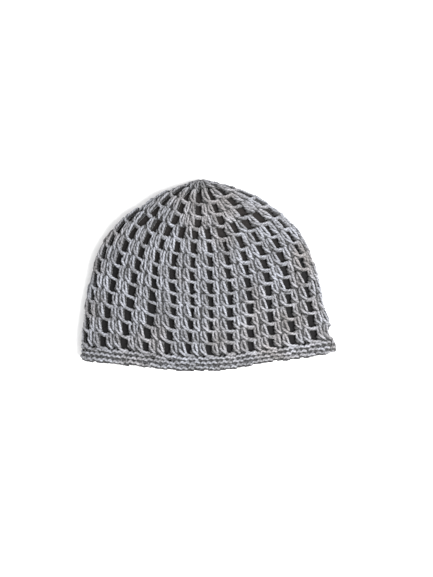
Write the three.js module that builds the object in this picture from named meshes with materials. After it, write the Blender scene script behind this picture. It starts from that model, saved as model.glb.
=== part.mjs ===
// A crocheted kufi cap that lies on its side: two soft layers joined by a fold at the left and right.
// The frame is in millimetres. X runs across the cap, Y runs from the rim up to the tip, and Z is up
// from the surface that the cap lies on. The origin is the middle of the cap's footprint.
import * as THREE from 'three';

// Overall sizes of the cap as it lies.
const CAP_WIDTH = 260;
const CAP_LENGTH = 195;
const CAP_HEIGHT = 45;
const FOLD_RADIUS = 12.5;

// Walls. The net and the band are crocheted from the same yarn, the lining is thin jersey.
const YARN_WALL = 5;
const LINING_WALL = 1.2;
const LINING_CLEARANCE = 0.7;
const PIECE_CLEARANCE = 0.5;

// Lengths of fabric along a side fold, measured from the tip.
const FABRIC_LENGTH = 247;
const CROWN_LENGTH = 73;
const BAND_DEPTH = 15;
const LINING_HEM = 6;

// Where the walls close over the tip, as fabric lengths from it.
const TIP_CAP = 6;
const LINING_TIP_CAP = 12.5;

// The pierced net: columns of gaps round the sides, in rings between crocheted bars.
const COLUMNS = 24;
const GAP_RINGS = 5;
const GAP_WIDTH_SHARE = 0.36;
const BAR_DEPTH = 6;

// How finely the walls are divided: lines in each column, and rows of cells down each plain wall.
const LINES_PER_COLUMN = 3;
const CROWN_ROWS = 6;
const BAND_ROWS = 2;
const LINING_ROWS = 10;

// The upper layer is a little tighter than the lower one, so it shows more than half the columns.
const UPPER_TIGHTNESS = 0.05;

// Where the gap nearest the middle of the upper layer sits at the rim, as a share of one column, and
// how far the columns lean from there up to the tip.
const COLUMN_START = 0.1;
const COLUMN_LEAN = 0.5;

// The cap's outside, a row for each section from the tip to the rim. Reach is the share of
// FABRIC_LENGTH down a side fold. Half is the section's half width, as a share of half CAP_WIDTH.
// Fold and middle are how far below the tip the section lies at its side folds and halfway between
// them, as shares of CAP_LENGTH. Edge is the fold's radius, as a share of FOLD_RADIUS, and swell is
// how high the upper layer rises above its folds, as a share of what CAP_HEIGHT leaves for it.
const SECTIONS = [
  { name: 'tip', reach: 0, half: 0, fold: 0, middle: 0, edge: 0, swell: 0 },
  { name: 'tip ring', reach: 0.035, half: 0.068, fold: 0.009, middle: 0.018, edge: 0.63, swell: 0.02 },
  { name: 'tip edge', reach: 0.075, half: 0.138, fold: 0.021, middle: 0.057, edge: 0.93, swell: 0.12 },
  { name: 'first gaps', reach: 0.115, half: 0.213, fold: 0.034, middle: 0.097, edge: 1, swell: 0.27 },
  { name: 'upper crown', reach: 0.187, half: 0.338, fold: 0.068, middle: 0.165, edge: 1, swell: 0.49 },
  { name: 'lower crown', reach: 0.264, half: 0.465, fold: 0.118, middle: 0.23, edge: 1, swell: 0.66 },
  { name: 'shoulder', reach: 0.401, half: 0.677, fold: 0.218, middle: 0.36, edge: 1, swell: 0.88 },
  { name: 'upper side', reach: 0.532, half: 0.823, fold: 0.351, middle: 0.504, edge: 1, swell: 0.99 },
  { name: 'middle side', reach: 0.658, half: 0.902, fold: 0.501, middle: 0.636, edge: 1, swell: 1 },
  { name: 'lower side', reach: 0.785, half: 0.945, fold: 0.66, middle: 0.766, edge: 1, swell: 0.95 },
  { name: 'band top', reach: 0.939, half: 0.989, fold: 0.852, middle: 0.926, edge: 1, swell: 0.82 },
  { name: 'rim', reach: 1, half: 1, fold: 0.929, middle: 1, edge: 1, swell: 0.75 },
];

const SWELL_HEIGHT = CAP_HEIGHT - 2 * FOLD_RADIUS;
const TIP_Y = CAP_LENGTH / 2;

// Samples round one section, the step that a wall's direction is measured over, and a radius that
// is as good as none.
const LOOP_SAMPLES = 240;
const NORMAL_STEP = 0.008;
const NO_RADIUS = 1e-6;

// A column of the sections table at any reach, as a smooth curve through its rows.
function smoothShare(column, reach) {
  const last = SECTIONS.length - 2;
  const found = SECTIONS.findIndex((row) => row.reach > reach) - 1;
  const index = found < 0 ? last : found;
  const slopeAt = (row) => {
    const before = SECTIONS[Math.max(row - 1, 0)];
    const here = SECTIONS[row];
    const after = SECTIONS[Math.min(row + 1, last + 1)];
    const turnsBack = (here[column] - before[column]) * (after[column] - here[column]) <= 0;
    const isEnd = row === 0 || row === last + 1;
    return turnsBack && !isEnd ? 0 : (after[column] - before[column]) / (after.reach - before.reach);
  };
  const start = SECTIONS[index];
  const end = SECTIONS[index + 1];
  const span = end.reach - start.reach;
  const t = (reach - start.reach) / span;
  const t2 = t * t;
  const t3 = t2 * t;
  return (
    (2 * t3 - 3 * t2 + 1) * start[column] +
    (t3 - 2 * t2 + t) * span * slopeAt(index) +
    (3 * t2 - 2 * t3) * end[column] +
    (t3 - t2) * span * slopeAt(index + 1)
  );
}

// One section of the outside: a flat lower layer, two round folds and a swelling upper layer.
// Walk goes once round it, from the middle of the upper layer over the right fold.
function sectionPoint(reach, walk) {
  const half = (smoothShare('half', reach) * CAP_WIDTH) / 2;
  const radius = Math.min(smoothShare('edge', reach) * FOLD_RADIUS, half);
  const flat = half - radius;
  const quarter = flat + (Math.PI * radius) / 2;
  const side = walk < 0.5 ? 1 : -1;
  const along = (side > 0 ? walk : 1 - walk) * 4 * quarter;
  const upper = along <= quarter;
  const fromMiddle = upper ? along : 2 * quarter - along;
  const bend = Math.max(fromMiddle - flat, 0) / Math.max(radius, NO_RADIUS);
  const x = side * (fromMiddle < flat ? fromMiddle : flat + radius * Math.sin(bend));
  const rise = radius * Math.cos(bend);
  const outward = half > 0 ? (x / half) ** 2 : 1;
  const swell = upper ? smoothShare('swell', reach) * SWELL_HEIGHT * (1 - outward) : 0;
  const middle = smoothShare('middle', reach);
  const drop = middle + (smoothShare('fold', reach) - middle) * outward;
  const z = FOLD_RADIUS + (upper ? rise + swell : -rise);
  return new THREE.Vector3(x, TIP_Y - drop * CAP_LENGTH, z);
}

// The section as samples with the share of fabric used up to each of them.
const sectionLoops = new Map();
function sectionLoop(reach) {
  if (sectionLoops.has(reach)) {
    return sectionLoops.get(reach);
  }
  const points = [];
  const used = [0];
  for (let i = 0; i <= LOOP_SAMPLES; i += 1) {
    points.push(sectionPoint(reach, i / LOOP_SAMPLES));
  }
  for (let i = 1; i <= LOOP_SAMPLES; i += 1) {
    const walk = (i - 0.5) / LOOP_SAMPLES;
    const tightness = 1 + UPPER_TIGHTNESS * Math.cos(2 * Math.PI * walk);
    used.push(used[i - 1] + points[i].distanceTo(points[i - 1]) * tightness);
  }
  const loop = { points, used };
  sectionLoops.set(reach, loop);
  return loop;
}

// A point on the outside: turn is the share of the round's fabric, from the middle of the upper layer.
function outsidePoint(turn, reach) {
  const { points, used } = sectionLoop(reach);
  const wanted = (turn - Math.floor(turn)) * used[LOOP_SAMPLES];
  let low = 0;
  let high = LOOP_SAMPLES;
  while (high - low > 1) {
    const half = (low + high) >> 1;
    if (used[half] <= wanted) {
      low = half;
    } else {
      high = half;
    }
  }
  const t = (wanted - used[low]) / (used[high] - used[low]);
  return points[low].clone().lerp(points[high], t);
}

// The same point moved into the wall by a depth.
function wallPoint(turn, reach, depth) {
  const point = outsidePoint(turn, reach);
  const above = Math.max(reach - NORMAL_STEP, NORMAL_STEP);
  const below = Math.min(reach + NORMAL_STEP, 1);
  const down = outsidePoint(turn, below).sub(outsidePoint(turn, above));
  const round = outsidePoint(turn + NORMAL_STEP, reach).sub(outsidePoint(turn - NORMAL_STEP, reach));
  const inward = round.cross(down).normalize();
  return point.addScaledVector(inward, depth);
}

// A wall between two depths of the outside, built cell by cell. Rows are reaches from its upper to
// its lower edge, lineTurn gives each upright line's turn, and isGap says which cells are open.
// A capped wall closes over the tip.
function wallGeometry({ rows, lines, lineTurn, outer, inner, capped = false, isGap = () => false }) {
  const positions = [];
  const triangles = [];
  const corner = (line, row, layer) => 2 * (row * lines + (line % lines)) + layer;
  for (let row = 0; row < rows.length; row += 1) {
    for (let line = 0; line < lines; line += 1) {
      const turn = lineTurn(line, rows[row]);
      positions.push(...wallPoint(turn, rows[row], outer).toArray());
      positions.push(...wallPoint(turn, rows[row], inner).toArray());
    }
  }
  const quad = (a, b, c, d) => triangles.push(a, b, c, a, c, d);
  const cells = rows.length - 1;
  const isOpen = (line, row) => {
    if (row < 0 || row >= cells) {
      return true;
    }
    return isGap((line + lines) % lines, row);
  };
  for (let row = 0; row < cells; row += 1) {
    for (let line = 0; line < lines; line += 1) {
      if (isOpen(line, row)) {
        continue;
      }
      const upperLeft = [corner(line, row, 0), corner(line, row, 1)];
      const upperRight = [corner(line + 1, row, 0), corner(line + 1, row, 1)];
      const lowerLeft = [corner(line, row + 1, 0), corner(line, row + 1, 1)];
      const lowerRight = [corner(line + 1, row + 1, 0), corner(line + 1, row + 1, 1)];
      quad(upperLeft[0], lowerLeft[0], lowerRight[0], upperRight[0]);
      quad(upperLeft[1], upperRight[1], lowerRight[1], lowerLeft[1]);
      if (isOpen(line - 1, row)) {
        quad(upperLeft[1], lowerLeft[1], lowerLeft[0], upperLeft[0]);
      }
      if (isOpen(line + 1, row)) {
        quad(upperRight[0], lowerRight[0], lowerRight[1], upperRight[1]);
      }
      if (isOpen(line, row + 1)) {
        quad(lowerLeft[0], lowerLeft[1], lowerRight[1], lowerRight[0]);
      }
      if (isOpen(line, row - 1) && !(capped && row === 0)) {
        quad(upperLeft[1], upperLeft[0], upperRight[0], upperRight[1]);
      }
    }
  }
  if (capped) {
    const tipOuter = positions.length / 3;
    const tipInner = tipOuter + 1;
    positions.push(0, TIP_Y - outer, FOLD_RADIUS);
    positions.push(0, TIP_Y - inner, FOLD_RADIUS);
    for (let line = 0; line < lines; line += 1) {
      triangles.push(tipOuter, corner(line, 0, 0), corner(line + 1, 0, 0));
      triangles.push(tipInner, corner(line + 1, 0, 1), corner(line, 0, 1));
    }
  }
  const geometry = new THREE.BufferGeometry();
  geometry.setAttribute('position', new THREE.Float32BufferAttribute(positions, 3));
  geometry.setIndex(triangles);
  return geometry;
}

// Upright lines of the net: each column has a gap and then a pair of posts.
const NET_LINES = COLUMNS * LINES_PER_COLUMN;
const POST_SHARE = (1 - GAP_WIDTH_SHARE) / (LINES_PER_COLUMN - 1);
function netLineTurn(line, reach) {
  const column = Math.floor(line / LINES_PER_COLUMN) + COLUMN_START + COLUMN_LEAN * (1 - reach);
  const place = line % LINES_PER_COLUMN;
  const across = place === 0 ? -GAP_WIDTH_SHARE / 2 : GAP_WIDTH_SHARE / 2 + (place - 1) * POST_SHARE;
  return (column + across) / COLUMNS;
}

// Evenly spaced reaches between two fabric lengths from the tip.
function evenReaches(from, to, steps) {
  return Array.from({ length: steps + 1 }, (_, i) => (from + ((to - from) * i) / steps) / FABRIC_LENGTH);
}

const SIDES_END = FABRIC_LENGTH - BAND_DEPTH;
const SIDES_LENGTH = SIDES_END - CROWN_LENGTH;

function crownGeometry() {
  return wallGeometry({
    rows: evenReaches(TIP_CAP, CROWN_LENGTH - PIECE_CLEARANCE / 2, CROWN_ROWS),
    lines: NET_LINES,
    lineTurn: netLineTurn,
    outer: 0,
    inner: YARN_WALL,
    capped: true,
  });
}

// Each ring of gaps has a bar above it and is two cells high, and a last bar lies on the band.
const RING_CELLS = 3;
function sidesGeometry() {
  const rows = [CROWN_LENGTH + PIECE_CLEARANCE / 2];
  const ringLength = (SIDES_LENGTH - BAR_DEPTH / 2) / GAP_RINGS;
  for (let ring = 0; ring < GAP_RINGS; ring += 1) {
    const gapStart = CROWN_LENGTH + ring * ringLength + (ring === 0 ? BAR_DEPTH / 2 : BAR_DEPTH);
    const gapEnd = CROWN_LENGTH + (ring + 1) * ringLength;
    rows.push(gapStart, (gapStart + gapEnd) / 2, gapEnd);
  }
  rows.push(SIDES_END - PIECE_CLEARANCE / 2);
  return wallGeometry({
    rows: rows.map((length) => length / FABRIC_LENGTH),
    lines: NET_LINES,
    lineTurn: netLineTurn,
    outer: 0,
    inner: YARN_WALL,
    isGap: (line, row) => line % LINES_PER_COLUMN === 0 && row % RING_CELLS !== 0,
  });
}

function bandGeometry() {
  return wallGeometry({
    rows: evenReaches(SIDES_END + PIECE_CLEARANCE / 2, FABRIC_LENGTH, BAND_ROWS),
    lines: NET_LINES,
    lineTurn: netLineTurn,
    outer: 0,
    inner: YARN_WALL,
  });
}

function liningGeometry() {
  const outer = YARN_WALL + LINING_CLEARANCE;
  return wallGeometry({
    rows: evenReaches(LINING_TIP_CAP, FABRIC_LENGTH - LINING_HEM, LINING_ROWS),
    lines: NET_LINES,
    lineTurn: netLineTurn,
    outer,
    inner: outer + LINING_WALL,
    capped: true,
  });
}

const greyYarn = { color: 0x9c9da1, roughness: 0.95, metalness: 0 };
const darkJersey = { color: 0x1d1d20, roughness: 0.9, metalness: 0 };

const group = new THREE.Group();
function addPiece(name, geometry, look) {
  geometry.computeVertexNormals();
  const mesh = new THREE.Mesh(geometry, new THREE.MeshStandardMaterial(look));
  mesh.name = name;
  group.add(mesh);
}

addPiece('crown', crownGeometry(), greyYarn);
addPiece('sides', sidesGeometry(), greyYarn);
addPiece('band', bandGeometry(), greyYarn);
addPiece('lining', liningGeometry(), darkJersey);

export default group;
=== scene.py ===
import math

import bpy
import numpy as np
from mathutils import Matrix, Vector


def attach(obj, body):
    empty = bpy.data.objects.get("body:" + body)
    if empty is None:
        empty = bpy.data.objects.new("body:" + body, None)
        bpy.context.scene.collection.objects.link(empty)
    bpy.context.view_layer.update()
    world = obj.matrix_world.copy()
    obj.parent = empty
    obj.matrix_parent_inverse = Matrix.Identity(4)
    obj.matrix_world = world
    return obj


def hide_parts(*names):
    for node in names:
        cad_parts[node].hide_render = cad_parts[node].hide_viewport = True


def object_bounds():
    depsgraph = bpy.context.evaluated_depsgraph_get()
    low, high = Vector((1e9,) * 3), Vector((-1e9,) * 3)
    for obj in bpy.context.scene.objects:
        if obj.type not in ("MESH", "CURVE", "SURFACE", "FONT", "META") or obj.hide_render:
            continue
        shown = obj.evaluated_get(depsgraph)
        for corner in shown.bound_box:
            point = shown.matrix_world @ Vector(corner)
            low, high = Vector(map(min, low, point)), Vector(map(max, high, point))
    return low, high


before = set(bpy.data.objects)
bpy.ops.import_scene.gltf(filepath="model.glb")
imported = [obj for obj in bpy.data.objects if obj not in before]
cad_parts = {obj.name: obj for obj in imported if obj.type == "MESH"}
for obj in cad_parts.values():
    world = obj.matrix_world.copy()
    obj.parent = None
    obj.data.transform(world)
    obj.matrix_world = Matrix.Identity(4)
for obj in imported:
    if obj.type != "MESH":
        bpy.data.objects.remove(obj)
cad_low, cad_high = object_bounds()

# The cap as it lies, in metres: overall sizes from the frame, walls and fabric lengths by name. The yarn
# stays YARN_TO_LINING clear of the lining, which starts LINING_CLEARANCE inside the yarn's wall and ends
# LINING_HEM short of the rim.
CAP_WIDTH = cad_high[0] - cad_low[0]
CAP_LENGTH = cad_high[1] - cad_low[1]
CAP_HEIGHT = cad_high[2] - cad_low[2]
TIP_Y = cad_high[1]
FOLD_RADIUS = 0.0125
SWELL_HEIGHT = CAP_HEIGHT - 2 * FOLD_RADIUS
FABRIC_LENGTH = 0.247
YARN_WALL = 0.005
YARN_TO_LINING = 0.00022
LINING_CLEARANCE = 0.0007
LINING_DEPTH = YARN_WALL + LINING_CLEARANCE
LINING_WALL = 0.0012
LINING_HEM = 0.006

# The cap's outside, a row for each section from the tip to the rim, all shares of the sizes above:
# how far down a side fold it lies, its half width, how far below the tip it lies at its folds and
# at its middle, the radius of its folds and the rise of the upper layer.
SECTION_COLUMNS = ("reach", "half", "fold", "middle", "edge", "swell")
SECTIONS = {
    "tip": (0, 0, 0, 0, 0, 0),
    "tip ring": (0.035, 0.068, 0.009, 0.018, 0.63, 0.02),
    "tip edge": (0.075, 0.138, 0.021, 0.057, 0.93, 0.12),
    "first gaps": (0.115, 0.213, 0.034, 0.097, 1, 0.27),
    "upper crown": (0.187, 0.338, 0.068, 0.165, 1, 0.49),
    "lower crown": (0.264, 0.465, 0.118, 0.23, 1, 0.66),
    "shoulder": (0.401, 0.677, 0.218, 0.36, 1, 0.88),
    "upper side": (0.532, 0.823, 0.351, 0.504, 1, 0.99),
    "middle side": (0.658, 0.902, 0.501, 0.636, 1, 1),
    "lower side": (0.785, 0.945, 0.66, 0.766, 1, 0.95),
    "band top": (0.939, 0.989, 0.852, 0.926, 1, 0.82),
    "rim": (1, 1, 0.929, 1, 1, 0.75),
}
SECTION_TABLE = np.array(list(SECTIONS.values()), dtype=float)

# The share by which the columns lie closer than evenly along the middle of the upper layer, which so
# shows more than half of them.
UPPER_TIGHTNESS = 0.068

# Where the soft fabric lies a little off the sections, in metres: across and along the cap, how far
# round there it spreads, and how far it is moved.
SAGS = {
    "rim pulled up on the right": (0.068, -0.098, (0.036, 0.022), (0, 0.0030, 0)),
    "rim pulled up on the left": (-0.075, -0.094, (0.036, 0.020), (0, 0.0014, 0)),
    "corner pushed out": (0.130, -0.0765, (0.014, 0.0085), (0.0058, 0, 0)),
    "corner rounded off": (0.135, -0.0865, (0.008, 0.0045), (-0.0030, 0, 0)),
    "fold pushed out": (0.126, -0.047, (0.014, 0.006), (0.0016, 0, 0)),
    "right shoulder of the crown": (0.060, 0.070, (0.024, 0.020), (0.0012, 0.0008, 0)),
    "rows drawn up on the left": (-0.072, -0.042, (0.034, 0.036), (0, 0.0018, 0)),
    "rows hanging low right of the middle": (0.014, -0.046, (0.030, 0.040), (0, -0.0015, 0)),
    "columns spread at the lower left": (-0.085, -0.052, (0.032, 0.034), (-0.0017, 0.0012, 0)),
    "columns left of the middle": (-0.035, 0.005, (0.013, 0.026), (-0.0020, 0, 0)),
    "nub on the right fold": (0.1280, -0.0545, (0.008, 0.0052), (0.0028, 0, 0)),
    "corner pushed down": (0.1300, -0.0800, (0.009, 0.007), (0, -0.0022, 0)),
}

# Yarn, in metres: its radius, the step between its rings of points, the sides of its section, the share
# by which its thickness varies, how far apart its plies lie along it, and how many go round it.
YARN_RADIUS = 0.00115
YARN_STEP = 0.0016
YARN_SIDES = 6
YARN_UNEVENNESS = 0.09
PLY_SPACING = 0.0031
PLIES = 2

# Columns of gaps in the crown and in the sides. A start is the share of a column by which the gap
# nearest the middle is off it, and the side columns lean by a share of a column from rim to tip.
CROWN_COLUMNS = 12
CROWN_START = -0.2
SIDE_COLUMNS = 24
SIDE_START = 0.1
SIDE_LEAN = 0.5

# Left of the middle the side columns drift to the right: by DRIFT of the round where it is strongest,
# at DRIFT_TURN and DRIFT_REACH, fading over DRIFT_WIDTH of the round and DRIFT_DEPTH of the reach.
DRIFT = 0.0095
DRIFT_TURN = -0.1
DRIFT_WIDTH = 0.08
DRIFT_REACH = 0.72
DRIFT_DEPTH = 0.16

# The rounds of double crochet from the tip down: columns, posts in each, the width of the gap in
# stitches, the reach of the lower edge and the thickness of the yarn, which is pulled thin at the tip.
# The first of them begins at the reach of the tip's small hole.
TIP_HOLE = 0.012
ROUNDS = {
    "tip": (CROWN_COLUMNS, 1, 0, 0.085, 0.75),
    "first": (CROWN_COLUMNS, 1, 1.05, 0.158, 1.02),
    "second": (CROWN_COLUMNS, 2, 1.2, 0.231, 1.02),
    "third": (CROWN_COLUMNS, 3, 1.6, 0.301, 1.02),
    "fourth": (SIDE_COLUMNS, 1, 1.15, 0.371, 1.02),
    "fifth": (SIDE_COLUMNS, 2, 1.1, 0.441, 1.0),
    "sixth": (SIDE_COLUMNS, 2, 1.0, 0.506, 1.0),
}

# The equal rounds that follow them down to the band, and the rounds of single crochet in the band,
# whose top is a reach.
SIDE_ROUNDS = 7
SIDE_POSTS = 2
GAP_STITCHES = 0.9
SIDE_THICKNESS = 1.0
BAND_TOP = 0.941
BAND_ROUNDS = 3
BAND_STITCHES = 96

# One double crochet as strands: the thickness of each and its points. A point is across (in stitch
# widths from its middle), down (as a share of the round) and deep (in millimetres under the outside).
MILLIMETRE = 0.001
POST = {
    "leg": (1.02, [
        (0.00, -0.12, 2.9), (0.02, -0.02, 1.3), (0.06, 0.14, 1.0), (0.12, 0.34, 1.0), (0.18, 0.54, 1.15),
        (0.22, 0.66, 1.6), (0.24, 0.78, 2.8),
    ]),
    "wrap": (1.0, [
        (-0.46, 0.40, 3.2), (-0.38, 0.50, 1.7), (-0.22, 0.62, 1.1), (0.00, 0.75, 1.05), (0.22, 0.87, 1.2),
        (0.40, 0.98, 2.7),
    ]),
    "row": (0.8, [
        (-0.58, 0.02, 2.9), (-0.34, -0.01, 2.1), (-0.02, 0.00, 1.9), (0.28, -0.02, 2.1), (0.56, 0.03, 2.9),
    ]),
    "left side": (1.0, [
        (-0.24, -0.08, 2.9), (-0.34, 0.04, 1.9), (-0.37, 0.18, 1.6), (-0.36, 0.34, 1.8), (-0.28, 0.50, 2.9),
    ]),
    "right side": (1.05, [
        (0.30, -0.02, 3.4), (0.38, 0.14, 2.9), (0.42, 0.34, 2.8), (0.44, 0.56, 3.0), (0.46, 0.74, 3.4),
    ]),
    "under the wrap": (1.05, [
        (-0.52, 0.60, 3.2), (-0.42, 0.70, 2.6), (-0.28, 0.80, 2.7), (-0.12, 0.90, 3.5),
    ]),
    "back": (1.35, [
        (-0.04, -0.04, 3.9), (-0.08, 0.12, 3.2), (-0.10, 0.45, 3.1), (-0.06, 0.76, 3.4), (0.0, 0.96, 3.9),
    ]),
    "back of the right side": (1.3, [
        (0.30, -0.02, 3.9), (0.32, 0.14, 3.2), (0.34, 0.45, 3.1), (0.36, 0.76, 3.4), (0.32, 0.96, 3.9),
    ]),
}

# The post after a chain space shows its left side beside the gap, so that strand lies further forward.
FIRST_POST = dict(POST)
FIRST_POST["left side"] = (0.95, [
    (-0.28, -0.08, 2.9), (-0.36, 0.04, 1.5), (-0.38, 0.18, 1.2), (-0.38, 0.34, 1.4), (-0.34, 0.50, 2.7),
])

# What differs in the post before a chain space: its leg leans over the gap, its wrap ends at the bar
# under the gap, and its right side lies nearer its middle.
LAST_POST = {
    "leg": (1.08, [
        (-0.06, -0.12, 2.9), (-0.02, -0.02, 1.3), (0.09, 0.15, 1.0), (0.20, 0.34, 1.0), (0.30, 0.54, 1.1),
        (0.38, 0.70, 1.4), (0.46, 0.82, 2.6),
    ]),
    "wrap": (1.02, [
        (-0.46, 0.40, 3.2), (-0.38, 0.49, 1.7), (-0.20, 0.61, 1.1), (0.04, 0.74, 1.05), (0.26, 0.85, 1.1),
        (0.46, 0.94, 1.7), (0.60, 1.02, 2.9),
    ]),
    "right side": (1.0, [
        (0.16, -0.02, 3.4), (0.26, 0.14, 3.0), (0.32, 0.34, 2.9), (0.36, 0.56, 3.0), (0.36, 0.74, 3.4),
    ]),
    "back of the right side": (1.2, [
        (0.16, -0.02, 3.9), (0.18, 0.14, 3.3), (0.22, 0.45, 3.2), (0.28, 0.76, 3.4), (0.30, 0.96, 3.9),
    ]),
}

# The chain under a gap, measured from the post before it.
CHAIN = {
    "bar": (1.0, [
        (0.24, 0.80, 2.8), (0.46, 0.88, 1.4), (0.74, 0.95, 1.1), (1.04, 0.995, 1.1), (1.34, 1.015, 1.3),
        (1.60, 1.04, 2.7),
    ]),
    "under the bar": (0.9, [
        (0.40, 0.97, 2.8), (0.68, 1.035, 2.1), (1.05, 1.085, 1.9), (1.40, 1.11, 2.1), (1.70, 1.09, 2.9),
    ]),
    "knot": (0.9, [
        (1.04, 0.99, 2.6), (1.22, 0.965, 1.3), (1.42, 1.01, 1.1), (1.60, 1.09, 1.5), (1.74, 1.17, 2.8),
    ]),
}

# One single crochet of the band, as shares of its own round.
BAND_STITCH = {
    "lump": (1.12, [
        (-0.56, 0.70, 3.0), (-0.36, 0.42, 1.5), (0.0, 0.40, 1.2), (0.34, 0.56, 1.4), (0.52, 0.82, 2.9),
    ]),
    "leg": (1.0, [
        (0.16, -0.16, 3.2), (0.10, 0.04, 2.3), (0.0, 0.35, 2.3), (-0.04, 0.7, 3.2),
    ]),
    "fill": (1.12, [
        (-0.62, 0.96, 3.5), (-0.3, 0.94, 3.1), (0.05, 0.96, 2.9), (0.35, 1.0, 3.1), (0.62, 0.98, 3.5),
    ]),
    "inside": (1.12, [
        (-0.66, 0.9, 3.0), (-0.3, 0.55, 3.75), (0.1, 0.45, 3.75), (0.45, 0.6, 3.75), (0.66, 0.9, 3.0),
    ]),
}

# No strand comes nearer the tip than this reach.
FIRST_REACH = 0.002

# The hand's wobble, in metres: of a whole stitch, of each strand in it and of the points along a strand.
# The shares say how much of the first two goes across, along and up. Each piece has its own seed.
STITCH_WOBBLE = 0.0004
STRAND_WOBBLE = 0.00033
BEND_WOBBLE = STRAND_WOBBLE / 3
WOBBLE_SHARES = (1, 1, 0.3)
SEEDS = {"crown_yarn": 7, "sides_upper_yarn": 8, "sides_lower_yarn": 9, "band_yarn": 10}

# The lining's mesh: lines round it, rows down it, and the reach of the first row, over which it closes.
LINING_LINES = 240
LINING_ROWS = 110
LINING_START = 0.03

# The lining's UV map counts two units round it and one from tip to rim.
CLOTH_ROUND = 2

# Lengths that are as good as none, and a share that still lies short of the next row of a grid.
NO_RADIUS = 1e-9
NO_LENGTH = 1e-12
ALMOST_ONE = 0.999999


def smooth_share(column, reach):
    """A column of the sections table at each reach, as a smooth curve through its rows."""
    knots = SECTION_TABLE[:, 0]
    values = SECTION_TABLE[:, SECTION_COLUMNS.index(column)]
    slopes = np.gradient(values, knots)
    slopes[1:-1] = (values[2:] - values[:-2]) / (knots[2:] - knots[:-2])
    turns_back = (values[1:-1] - values[:-2]) * (values[2:] - values[1:-1]) <= 0
    slopes[1:-1][turns_back] = 0
    row = np.clip(np.searchsorted(knots, reach, side="right") - 1, 0, len(knots) - 2)
    span = knots[row + 1] - knots[row]
    t = (reach - knots[row]) / span
    start = (2 * t**3 - 3 * t**2 + 1) * values[row] + (t**3 - 2 * t**2 + t) * span * slopes[row]
    end = (3 * t**2 - 2 * t**3) * values[row + 1] + (t**3 - t**2) * span * slopes[row + 1]
    return start + end


def section_points(reach, walk):
    """Points once round each section: a flat lower layer, two round folds and a swelling upper layer."""
    half = smooth_share("half", reach) * CAP_WIDTH / 2
    radius = np.minimum(smooth_share("edge", reach) * FOLD_RADIUS, half)
    flat = half - radius
    quarter = flat + math.pi * radius / 2
    side = np.where(walk < 0.5, 1.0, -1.0)
    along = np.where(walk < 0.5, walk, 1 - walk) * 4 * quarter
    upper = along <= quarter
    from_middle = np.where(upper, along, 2 * quarter - along)
    bend = np.maximum(from_middle - flat, 0) / np.maximum(radius, NO_RADIUS)
    x = side * np.where(from_middle < flat, from_middle, flat + radius * np.sin(bend))
    rise = radius * np.cos(bend)
    outward = np.where(half > 0, (x / np.maximum(half, NO_RADIUS)) ** 2, 1.0)
    swell = np.where(upper, smooth_share("swell", reach) * SWELL_HEIGHT * (1 - outward), 0)
    middle = smooth_share("middle", reach)
    drop = middle + (smooth_share("fold", reach) - middle) * outward
    z = FOLD_RADIUS + np.where(upper, rise + swell, -rise)
    return np.stack([x, TIP_Y - drop * CAP_LENGTH, z], axis=-1)


class CapOutside:
    """The cap's outside as an even grid of fabric: turn goes once round, reach from tip to rim. The
    inward direction is measured over a few lines, and at the tip it points straight into the cap."""

    ROWS = 401
    LINES = 960
    LINES_FOR_DIRECTION = 3
    LAST_PLACE = ROWS - 2 + ALMOST_ONE

    def __init__(self):
        turns = np.arange(self.LINES) / self.LINES
        walk = np.linspace(0, 1, self.LINES + 1)
        tightness = 1 + UPPER_TIGHTNESS * np.cos(2 * math.pi * (walk[1:] - 0.5 / self.LINES))
        self.points = np.zeros((self.ROWS, self.LINES, 3))
        for row, reach in enumerate(np.linspace(0, 1, self.ROWS)):
            loop = section_points(np.full(walk.shape, reach), walk)
            steps = np.linalg.norm(np.diff(loop, axis=0), axis=1) * tightness
            used = np.concatenate([[0], np.cumsum(steps)])
            if used[-1] > 0:
                used /= used[-1]
                self.points[row] = np.stack([np.interp(turns, used, loop[:, k]) for k in range(3)], axis=1)
            else:
                self.points[row] = loop[0]
        for across, along, spread, move in SAGS.values():
            offset = (self.points[..., :2] - (across, along)) / spread
            self.points += np.exp(-np.sum(offset**2, axis=-1))[..., None] * np.array(move)
        down = np.gradient(self.points, axis=0)
        after = np.roll(self.points, -self.LINES_FOR_DIRECTION, axis=1)
        before = np.roll(self.points, self.LINES_FOR_DIRECTION, axis=1)
        inward = np.cross(after - before, down)
        inward[0] = (0, -1, 0)
        length = np.linalg.norm(inward, axis=2, keepdims=True)
        self.inward = inward / np.maximum(length, NO_LENGTH)

    def look_up(self, turn, reach):
        """The outside point and the inward direction at each turn and reach."""
        row = np.clip(reach * (self.ROWS - 1), 0, self.LAST_PLACE)
        line = (turn % 1.0) * self.LINES
        row_low = row.astype(int)
        line_low = line.astype(int) % self.LINES
        line_high = (line_low + 1) % self.LINES
        down = (row - row_low)[..., None]
        across = (line - line.astype(int))[..., None]

        def blend(grid):
            upper = grid[row_low, line_low] * (1 - across) + grid[row_low, line_high] * across
            lower = grid[row_low + 1, line_low] * (1 - across) + grid[row_low + 1, line_high] * across
            return upper * (1 - down) + lower * down

        inward = blend(self.inward)
        inward /= np.maximum(np.linalg.norm(inward, axis=-1, keepdims=True), NO_LENGTH)
        return blend(self.points), inward


outside = CapOutside()


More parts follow.
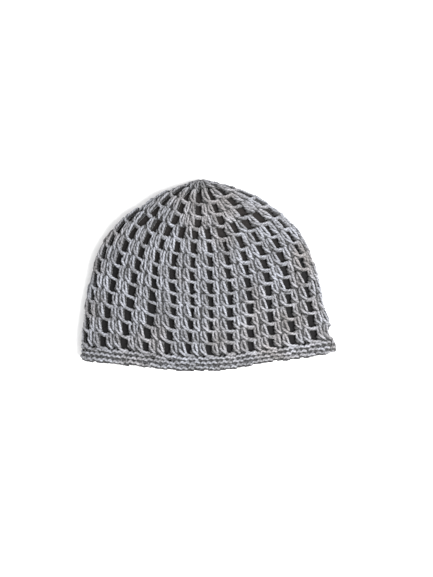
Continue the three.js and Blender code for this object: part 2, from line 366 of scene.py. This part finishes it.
class Strands:
    """Strands of yarn gathered as chains of points, ready to be made into one mesh of edges."""

    VALUES = {"thickness": "FLOAT", "tone": "FLOAT", "deep": "FLOAT", "outward": "FLOAT_VECTOR"}

    def __init__(self, seed):
        self.chains = []
        self.random = np.random.default_rng(seed)

    def add(self, turn, reach, depth, thickness, shift):
        """One strand. The hand's wobble moves it as a whole and bends it a little, and it is kept off
        the lining and above the floor."""
        surface, inward = outside.look_up(turn, reach)
        points = surface + inward * depth[:, None]
        points = points + shift + self.random.normal(0, STRAND_WOBBLE, 3) * WOBBLE_SHARES
        points = points + self.random.normal(0, BEND_WOBBLE, points.shape)
        count = len(points)
        thickness = thickness * self.random.normal(1, YARN_UNEVENNESS, count)
        radius = YARN_RADIUS * thickness
        deepest = LINING_DEPTH - YARN_TO_LINING - radius
        too_deep = np.sum((points - surface) * inward, axis=1) - deepest
        points -= inward * np.maximum(too_deep, 0)[:, None]
        points[:, 2] = np.maximum(points[:, 2], radius)
        tone = np.full(count, self.random.uniform())
        values = {"thickness": thickness, "tone": tone, "deep": depth, "outward": -inward}
        self.chains.append((points, values))

    def mesh(self, name):
        """A mesh of edges that carries each point's thickness, tone, depth and outward direction."""
        edges = []
        start = 0
        for points, _ in self.chains:
            indices = np.arange(start, start + len(points))
            edges.append(np.stack([indices[:-1], indices[1:]], axis=1))
            start += len(points)
        mesh = bpy.data.meshes.new(name)
        places = np.concatenate([points for points, _ in self.chains])
        mesh.from_pydata(places.tolist(), np.concatenate(edges).tolist(), [])
        for key, kind in self.VALUES.items():
            data = np.concatenate([values[key] for _, values in self.chains])
            slot = "vector" if kind == "FLOAT_VECTOR" else "value"
            mesh.attributes.new(key, kind, "POINT").data.foreach_set(slot, data.ravel())
        return mesh


def add_stitch(strands, shapes, middle, width, top, bottom, thickness=1.0):
    """A stitch of several strands whose points are shares of its round. Middle and width are turns."""
    shift = strands.random.normal(0, STITCH_WOBBLE, 3) * WOBBLE_SHARES
    for strand_thickness, points in shapes:
        across, down, deep = np.array(points).T
        reach = np.clip(top + down * (bottom - top), FIRST_REACH, 1)
        strands.add(middle + across * width, reach, deep * MILLIMETRE, thickness * strand_thickness, shift)


def column_turn(columns, column, reach):
    """The turn of a gap's middle."""
    if columns == CROWN_COLUMNS:
        return (column + CROWN_START) / columns
    turn = (column + SIDE_START + SIDE_LEAN * (1 - reach)) / columns
    off_turn = ((turn + 0.5) % 1 - 0.5 - DRIFT_TURN) / DRIFT_WIDTH
    off_reach = (reach - DRIFT_REACH) / DRIFT_DEPTH
    return turn + DRIFT * math.exp(-(off_turn**2) - off_reach**2)


def crochet_round(strands, columns, posts, gap, top, bottom, thickness, keep):
    """One round of double crochet: in each column that is kept a chain space and then the posts."""
    width = 1 / columns / (posts + gap)
    middle_reach = (top + bottom) / 2
    for column in range(columns):
        gap_middle = column_turn(columns, column, middle_reach)
        if not keep(gap_middle):
            continue
        first = gap_middle + width * (gap / 2 + 0.5)
        for post in range(posts):
            shapes = dict(FIRST_POST if gap and post == 0 else POST)
            if gap and post == posts - 1:
                shapes.update(LAST_POST)
                shapes.update(CHAIN)
            add_stitch(strands, shapes.values(), first + post * width, width, top, bottom, thickness)


def crochet_band(strands):
    """Rounds of single crochet, each stitch half a stitch off the one above it."""
    depth = (1 - BAND_TOP) / BAND_ROUNDS
    width = 1 / BAND_STITCHES
    for number in range(BAND_ROUNDS):
        top = BAND_TOP + number * depth
        for stitch in range(BAND_STITCHES):
            middle = (stitch + 0.5 * (number % 2)) * width
            add_stitch(strands, BAND_STITCH.values(), middle, width, top, top + depth)


def whole_round(turn):
    return True


def upper_layer(turn):
    return math.cos(2 * math.pi * turn) > 0


def lower_layer(turn):
    return not upper_layer(turn)


def rounds_of(wanted_columns):
    """The rounds of double crochet with so many columns: columns, posts, gap, top, bottom, thickness."""
    rounds = []
    top = TIP_HOLE
    for columns, posts, gap, bottom, thickness in ROUNDS.values():
        rounds.append((columns, posts, gap, top, bottom, thickness))
        top = bottom
    for bottom in np.linspace(top, BAND_TOP, SIDE_ROUNDS + 1)[1:]:
        rounds.append((SIDE_COLUMNS, SIDE_POSTS, GAP_STITCHES, top, bottom, SIDE_THICKNESS))
        top = bottom
    return [row for row in rounds if row[0] == wanted_columns]


# Helpers for trees of nodes.
def feed(tree, socket, value):
    """Links what comes out of another node to a socket, or sets the socket to a plain value."""
    if isinstance(value, bpy.types.NodeSocket):
        tree.links.new(value, socket)
    else:
        socket.default_value = value


def add_node(tree, kind, inputs=None, **settings):
    """A node with its settings made first and then its inputs fed, by name or by place."""
    node = tree.nodes.new(kind)
    for key, value in settings.items():
        setattr(node, key, value)
    for key, value in (inputs or {}).items():
        feed(tree, node.inputs[key], value)
    return node


def stored(tree, geometry, name, kind, value):
    """Stores a named attribute on the points of a geometry and gives the geometry back."""
    inputs = {"Name": name, "Geometry": geometry, "Value": value}
    node = add_node(tree, "GeometryNodeStoreNamedAttribute", inputs, data_type=kind, domain="POINT")
    return node.outputs["Geometry"]


def named(tree, name, kind):
    node = add_node(tree, "GeometryNodeInputNamedAttribute", {"Name": name}, data_type=kind)
    return node.outputs["Attribute"]


def math_node(tree, operation, *values):
    return add_node(tree, "ShaderNodeMath", dict(enumerate(values)), operation=operation).outputs[0]


def vector_math(tree, operation, *values):
    node = add_node(tree, "ShaderNodeVectorMath", dict(enumerate(values)), operation=operation)
    return node.outputs["Value" if operation == "DOT_PRODUCT" else "Vector"]


# The yarn.
def yarn_tree():
    """Strands become round yarn of the given radius that knows where it lies along and round itself,
    and how far below the cap's outside."""
    tree = bpy.data.node_groups.new("strands to yarn", "GeometryNodeTree")
    sockets = {
        "Geometry": "Geometry",
        "Yarn radius": "Float",
        "Step": "Float",
        "Sides": "Int",
        "Material": "Material",
    }
    for name, kind in sockets.items():
        tree.interface.new_socket(name, in_out="INPUT", socket_type="NodeSocket" + kind)
    tree.interface.new_socket("Geometry", in_out="OUTPUT", socket_type="NodeSocketGeometry")
    given = tree.nodes.new("NodeGroupInput").outputs
    position = tree.nodes.new("GeometryNodeInputPosition").outputs["Position"]

    chains = add_node(tree, "GeometryNodeMeshToCurve", {"Mesh": given["Geometry"]}).outputs["Curve"]
    smooth = add_node(tree, "GeometryNodeCurveSplineType", {"Curve": chains}, spline_type="CATMULL_ROM")
    even = add_node(
        tree,
        "GeometryNodeResampleCurve",
        {"Curve": smooth.outputs["Curve"], "Length": given["Step"]},
        mode="LENGTH",
    )
    along = tree.nodes.new("GeometryNodeSplineParameter").outputs["Length"]
    curve = stored(tree, even.outputs["Curve"], "along", "FLOAT", along)
    curve = stored(tree, curve, "centre", "FLOAT_VECTOR", position)

    ring = add_node(
        tree,
        "GeometryNodeCurvePrimitiveCircle",
        {"Resolution": given["Sides"], "Radius": given["Yarn radius"]},
    )
    outward = vector_math(tree, "NORMALIZE", position)
    profile = stored(tree, ring.outputs["Curve"], "round", "FLOAT_VECTOR", outward)
    tube = add_node(
        tree,
        "GeometryNodeCurveToMesh",
        {
            "Curve": curve,
            "Profile Curve": profile,
            "Scale": named(tree, "thickness", "FLOAT"),
            "Fill Caps": True,
        },
    )

    from_centre = vector_math(tree, "SUBTRACT", position, named(tree, "centre", "FLOAT_VECTOR"))
    rise = vector_math(tree, "DOT_PRODUCT", from_centre, named(tree, "outward", "FLOAT_VECTOR"))
    below = math_node(tree, "SUBTRACT", named(tree, "deep", "FLOAT"), rise)
    yarn = stored(tree, tube.outputs["Mesh"], "below", "FLOAT", below)
    yarn = add_node(tree, "GeometryNodeSetShadeSmooth", {"Geometry": yarn}).outputs["Geometry"]
    yarn = add_node(tree, "GeometryNodeRealizeInstances", {"Geometry": yarn}).outputs["Geometry"]
    painted = add_node(tree, "GeometryNodeSetMaterial", {"Geometry": yarn, "Material": given["Material"]})
    add_node(tree, "NodeGroupOutput", {"Geometry": painted.outputs["Geometry"]})
    return tree


def spin_yarn(tree, strands, name, material):
    """Turns gathered strands into one plain mesh of yarn."""
    source = bpy.data.objects.new(name + "_strands", strands.mesh(name + "_strands"))
    bpy.context.collection.objects.link(source)
    maker = source.modifiers.new("yarn", "NODES")
    maker.node_group = tree
    wanted = {"Yarn radius": YARN_RADIUS, "Step": YARN_STEP, "Sides": YARN_SIDES, "Material": material}
    for item in tree.interface.items_tree:
        if item.in_out == "INPUT" and item.name in wanted:
            maker[item.identifier] = wanted[item.name]
    graph = bpy.context.evaluated_depsgraph_get()
    graph.update()
    mesh = bpy.data.meshes.new_from_object(
        source.evaluated_get(graph), preserve_all_data_layers=True, depsgraph=graph
    )
    mesh.name = name
    bpy.data.objects.remove(source)
    piece = bpy.data.objects.new(name, mesh)
    bpy.context.collection.objects.link(piece)
    return piece


# Helpers for materials.
def new_material(name, finish):
    """A material with its shader's own sockets set, its tree and its shader."""
    material = bpy.data.materials.new(name)
    material.use_nodes = True
    tree = material.node_tree
    shader = tree.nodes["Principled BSDF"]
    for socket, value in finish.items():
        shader.inputs[socket].default_value = value
    return material, tree, shader


def attribute(tree, name, output="Fac"):
    return add_node(tree, "ShaderNodeAttribute", attribute_name=name).outputs[output]


def noise(tree, place, scale, detail):
    inputs = {"Vector": place, "Scale": scale, "Detail": detail}
    return add_node(tree, "ShaderNodeTexNoise", inputs).outputs["Fac"]


def ramp(tree, share, dark, light, low=0.0, high=1.0):
    """A colour from dark, up to the low share, to light, from the high share."""
    node = add_node(tree, "ShaderNodeValToRGB", {0: share})
    first, last = node.color_ramp.elements
    first.position, first.color = low, dark
    last.position, last.color = high, light
    return node.outputs["Color"]


def ranged(tree, value, start, end, to_start, to_end, interpolation="LINEAR"):
    """A value from start to end, moved to the range from to_start to to_end."""
    inputs = {"Value": value, "From Min": start, "From Max": end, "To Min": to_start, "To Max": to_end}
    return add_node(tree, "ShaderNodeMapRange", inputs, interpolation_type=interpolation).outputs["Result"]


def mixed(tree, kind, colour, other, share=1.0):
    """A colour with a share of another multiplied into it or added to it."""
    inputs = {"Factor": share, "A": colour, "B": other}
    return add_node(tree, "ShaderNodeMix", inputs, data_type="RGBA", blend_type=kind).outputs["Result"]


def roughen(tree, shader, height, strength, distance):
    inputs = {"Strength": strength, "Distance": distance, "Height": height}
    bump = add_node(tree, "ShaderNodeBump", inputs)
    tree.links.new(bump.outputs["Normal"], shader.inputs["Normal"])


# The yarn's colours, the shares of flecks, strands and patches in them, the painted shade in its ply
# valleys and the painted light on its ply ridges, how high its fibres stand beside its plies, and the
# painted shade between its strands: how far below a face of the wall it is darkest, and how dark.
DARK_FIBRE = (0.065, 0.062, 0.062, 1)
LIGHT_FIBRE = (0.322, 0.334, 0.375, 1)
TAN_TINT = (0.95, 0.87, 0.79, 1)
FLECK_SHARE = 0.55
STRAND_SHARE = 0.2
PATCH_SHARE = 0.35
PLY_VALLEY_PAINTED_SHADE = 0.70
PLY_RIDGE_PAINTED_LIGHT = 1.20
FIBRE_HEIGHT = 0.6
PAINTED_SHADE_DEPTH = 0.00225
PAINTED_SHADE_SHARE = 0.04


def yarn_material():
    """Heather-grey yarn: plies twisted together, flecked with darker and lighter fibres, with painted shade
    in the ply valleys and between the strands and painted light on the ply ridges.
    """
    finish = {"Roughness": 0.85, "Specular IOR Level": 0.25, "Sheen Weight": 0.25, "Sheen Roughness": 0.6}
    material, tree, shader = new_material("heather grey yarn", finish)
    place = tree.nodes.new("ShaderNodeTexCoord").outputs["Object"]
    fibre = noise(tree, place, scale=1400, detail=3)
    fleck = noise(tree, place, scale=560, detail=2)
    patch = noise(tree, place, scale=55, detail=1)
    tan_patch = noise(tree, place, scale=17, detail=2)

    side = add_node(tree, "ShaderNodeSeparateXYZ", {0: attribute(tree, "round", "Vector")})
    angle = math_node(tree, "ARCTAN2", side.outputs["Y"], side.outputs["X"])
    twist = math_node(tree, "MULTIPLY", attribute(tree, "along"), 2 * math.pi / PLY_SPACING)
    phase = math_node(tree, "ADD", twist, math_node(tree, "MULTIPLY", angle, PLIES))
    wave = math_node(tree, "MULTIPLY", math_node(tree, "SINE", phase), 0.5)
    ply = math_node(tree, "ADD", wave, 0.5)

    heather = math_node(tree, "MULTIPLY", fleck, FLECK_SHARE)
    strand = math_node(tree, "MULTIPLY", attribute(tree, "tone"), STRAND_SHARE)
    heather = math_node(tree, "ADD", heather, strand)
    heather = math_node(tree, "ADD", heather, math_node(tree, "MULTIPLY", patch, PATCH_SHARE))
    colour = ramp(tree, heather, DARK_FIBRE, LIGHT_FIBRE, low=0.3, high=0.72)
    tan_share = ranged(tree, tan_patch, start=0.5, end=0.7, to_start=0.0, to_end=1.0)
    colour = mixed(tree, "MULTIPLY", colour, TAN_TINT, tan_share)
    # Painted shade in the ply valleys and painted light on the ply ridges, multiplied into the colour.
    painted_ply_shade = ranged(tree, ply, start=0.0, end=1.0, to_start=PLY_VALLEY_PAINTED_SHADE, to_end=PLY_RIDGE_PAINTED_LIGHT)
    colour = mixed(tree, "MULTIPLY", colour, painted_ply_shade)
    # Painted shade between the strands: the colour darkens with depth below the nearer face of the wall,
    # down to a small share where it lies deepest.
    below = attribute(tree, "below")
    from_inside = math_node(tree, "SUBTRACT", YARN_WALL, below)
    sunk = math_node(tree, "MINIMUM", below, from_inside)
    shade = ranged(tree, sunk, 0.0, PAINTED_SHADE_DEPTH, to_start=1.0, to_end=PAINTED_SHADE_SHARE, interpolation="SMOOTHSTEP")
    tree.links.new(mixed(tree, "MULTIPLY", colour, shade), shader.inputs["Base Color"])

    height = math_node(tree, "ADD", ply, math_node(tree, "MULTIPLY", fibre, FIBRE_HEIGHT))
    roughen(tree, shader, height, strength=0.75, distance=0.0006)
    return material


# The lining's colours, and the painted sheen added to them towards the crown.
DARK_JERSEY = (0.0070, 0.0068, 0.0073, 1)
LIGHT_JERSEY = (0.0175, 0.0163, 0.0171, 1)
PAINTED_SHEEN_JERSEY = (0.0122, 0.0096, 0.0083, 1)


def jersey_wave(tree, place, direction, scale):
    inputs = {"Vector": place, "Scale": scale, "Distortion": 0.6}
    return add_node(tree, "ShaderNodeTexWave", inputs, bands_direction=direction).outputs["Fac"]


def lining_material():
    """Thin charcoal jersey with fine upright ribs of stitches, made paler towards the crown by a painted
    sheen.
    """
    finish = {"Roughness": 0.9, "Specular IOR Level": 0.2, "Sheen Weight": 0.05}
    material, tree, shader = new_material("charcoal jersey", finish)
    place = tree.nodes.new("ShaderNodeTexCoord").outputs["UV"]
    rib = jersey_wave(tree, place, "X", scale=130)
    row = jersey_wave(tree, place, "Y", scale=170)
    stitch = math_node(tree, "MULTIPLY", rib, row)
    reach = add_node(tree, "ShaderNodeSeparateXYZ", {0: place}).outputs["Y"]
    # Painted sheen: a paler tone is added to the lining towards the crown.
    painted_sheen_near_crown = ranged(tree, reach, start=0.25, end=0.6, to_start=1.0, to_end=0.0)
    colour = mixed(tree, "ADD", ramp(tree, stitch, DARK_JERSEY, LIGHT_JERSEY), PAINTED_SHEEN_JERSEY, painted_sheen_near_crown)
    tree.links.new(colour, shader.inputs["Base Color"])
    roughen(tree, shader, stitch, strength=0.5, distance=0.0004)
    return material


# The lining.
def lining_faces():
    """Both sides of the cloth, its hem, and the fans that close it over the tip."""
    count = LINING_ROWS * LINING_LINES
    last = count - LINING_LINES
    faces = []
    for start in range(0, last, LINING_LINES):
        for line in range(LINING_LINES):
            a, b = start + line, start + (line + 1) % LINING_LINES
            c, d = a + LINING_LINES, b + LINING_LINES
            faces.append((a, c, d, b))
            faces.append((count + a, count + b, count + d, count + c))
    for line in range(LINING_LINES):
        after = (line + 1) % LINING_LINES
        faces.append((last + line, count + last + line, count + last + after, last + after))
        faces.append((2 * count, line, after))
        faces.append((2 * count + 1, count + after, count + line))
    return faces


def map_cloth(mesh, turn, reach):
    """Gives the cloth its UV map. A face over the map's own seam is kept in one piece."""
    flat_turn = np.concatenate([turn.ravel(), turn.ravel(), [0.5, 0.5]])
    flat_reach = np.concatenate([reach.ravel(), reach.ravel(), [0, 0]])
    corners = np.zeros(len(mesh.loops), dtype=np.int32)
    mesh.loops.foreach_get("vertex_index", corners)
    across = flat_turn[corners] * CLOTH_ROUND
    for face in mesh.polygons:
        part = across[face.loop_start : face.loop_start + face.loop_total]
        if part.max() - part.min() > CLOTH_ROUND / 2:
            part[part < CLOTH_ROUND / 2] += CLOTH_ROUND
    places = np.stack([across, flat_reach[corners]], axis=1)
    mesh.uv_layers.new(name="cloth").data.foreach_set("uv", places.ravel())


def lining_piece(material):
    """The lining as a smooth cloth with two sides and a closed hem."""
    rows = np.linspace(LINING_START, 1 - LINING_HEM / FABRIC_LENGTH, LINING_ROWS)
    lines = np.arange(LINING_LINES) / LINING_LINES
    reach, turn = np.meshgrid(rows, lines, indexing="ij")
    surface, inward = outside.look_up(turn, reach)
    depths = (LINING_DEPTH, LINING_DEPTH + LINING_WALL)
    points = [tuple(point) for depth in depths for point in (surface + inward * depth).reshape(-1, 3)]
    points += [(0, TIP_Y - depth, FOLD_RADIUS) for depth in depths]
    mesh = bpy.data.meshes.new("lining_cloth")
    mesh.from_pydata(points, [], lining_faces())
    map_cloth(mesh, turn, reach)
    mesh.polygons.foreach_set("use_smooth", np.ones(len(mesh.polygons), dtype=bool))
    mesh.materials.append(material)
    mesh.update()
    piece = bpy.data.objects.new("lining_cloth", mesh)
    bpy.context.collection.objects.link(piece)
    return piece


def dress_cap():
    """Crown, sides in two layers, band and lining, each in the place of its solid."""
    tree = yarn_tree()
    yarn = yarn_material()
    worked = (
        ("crown_yarn", "crown", CROWN_COLUMNS, whole_round),
        ("sides_upper_yarn", "sides", SIDE_COLUMNS, upper_layer),
        ("sides_lower_yarn", "sides", SIDE_COLUMNS, lower_layer),
    )
    pieces = []
    for name, node, columns, keep in worked:
        strands = Strands(SEEDS[name])
        for row in rounds_of(columns):
            crochet_round(strands, *row, keep)
        pieces.append((spin_yarn(tree, strands, name, yarn), node))
    band = Strands(SEEDS["band_yarn"])
    crochet_band(band)
    pieces.append((spin_yarn(tree, band, "band_yarn", yarn), "band"))
    for piece, node in pieces:
        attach(piece, "root")
        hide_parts(node)
    lining = lining_piece(lining_material())
    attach(lining, "root")
    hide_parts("lining")


# The floor and the light.
FLOOR_HALF = 3.0
PAPER_WHITE = (0.93, 0.93, 0.93, 1)
SKY_WHITE = (1, 1, 1, 1)
SKY_STRENGTH = 1.18
WINDOW_PLACE = (0.75, -0.3, 1.35)
WINDOW_SIZE = 1.0
WINDOW_POWER = 46


def lay_floor():
    mesh = bpy.data.meshes.new("floor")
    low, high = -FLOOR_HALF, FLOOR_HALF
    mesh.from_pydata([(low, low, 0), (high, low, 0), (high, high, 0), (low, high, 0)], [], [(0, 1, 2, 3)])
    floor = bpy.data.objects.new("floor", mesh)
    bpy.context.collection.objects.link(floor)
    finish = {"Base Color": PAPER_WHITE, "Roughness": 0.9, "Specular IOR Level": 0.1}
    mesh.materials.append(new_material("white paper", finish)[0])


def light_scene():
    """An even white surround and a large window to the right, aimed at the cap."""
    world = bpy.data.worlds.new("studio")
    bpy.context.scene.world = world
    world.use_nodes = True
    sky = world.node_tree.nodes["Background"]
    sky.inputs["Color"].default_value = SKY_WHITE
    sky.inputs["Strength"].default_value = SKY_STRENGTH
    light = bpy.data.lights.new("window", "AREA")
    light.shape = "DISK"
    light.size = WINDOW_SIZE
    light.energy = WINDOW_POWER
    lamp = bpy.data.objects.new("window", light)
    lamp.location = WINDOW_PLACE
    lamp.rotation_euler = (-Vector(WINDOW_PLACE)).to_track_quat("-Z", "Y").to_euler()
    bpy.context.collection.objects.link(lamp)
    bpy.context.scene.view_settings.view_transform = "Standard"


# The camera looks straight down. The cap lies turned a little in the picture, whose longer side is its
# height in pixels.
PICTURE_HEIGHT = 577
METRES_PER_PIXEL = 0.00103
PICTURE_CENTRE = (0.0125, -0.0155)
PICTURE_TURN = math.radians(-1.5)
LENS = 85
SENSOR = 36


def set_camera():
    camera = bpy.data.cameras.new("camera")
    camera.lens = LENS
    camera.sensor_width = SENSOR
    holder = bpy.data.objects.new("camera", camera)
    distance = PICTURE_HEIGHT * METRES_PER_PIXEL * LENS / SENSOR
    holder.location = (PICTURE_CENTRE[0], PICTURE_CENTRE[1], FOLD_RADIUS + distance)
    holder.rotation_euler = (0, 0, PICTURE_TURN)
    bpy.context.collection.objects.link(holder)
    bpy.context.scene.camera = holder


set_camera()
dress_cap()
lay_floor()
light_scene()
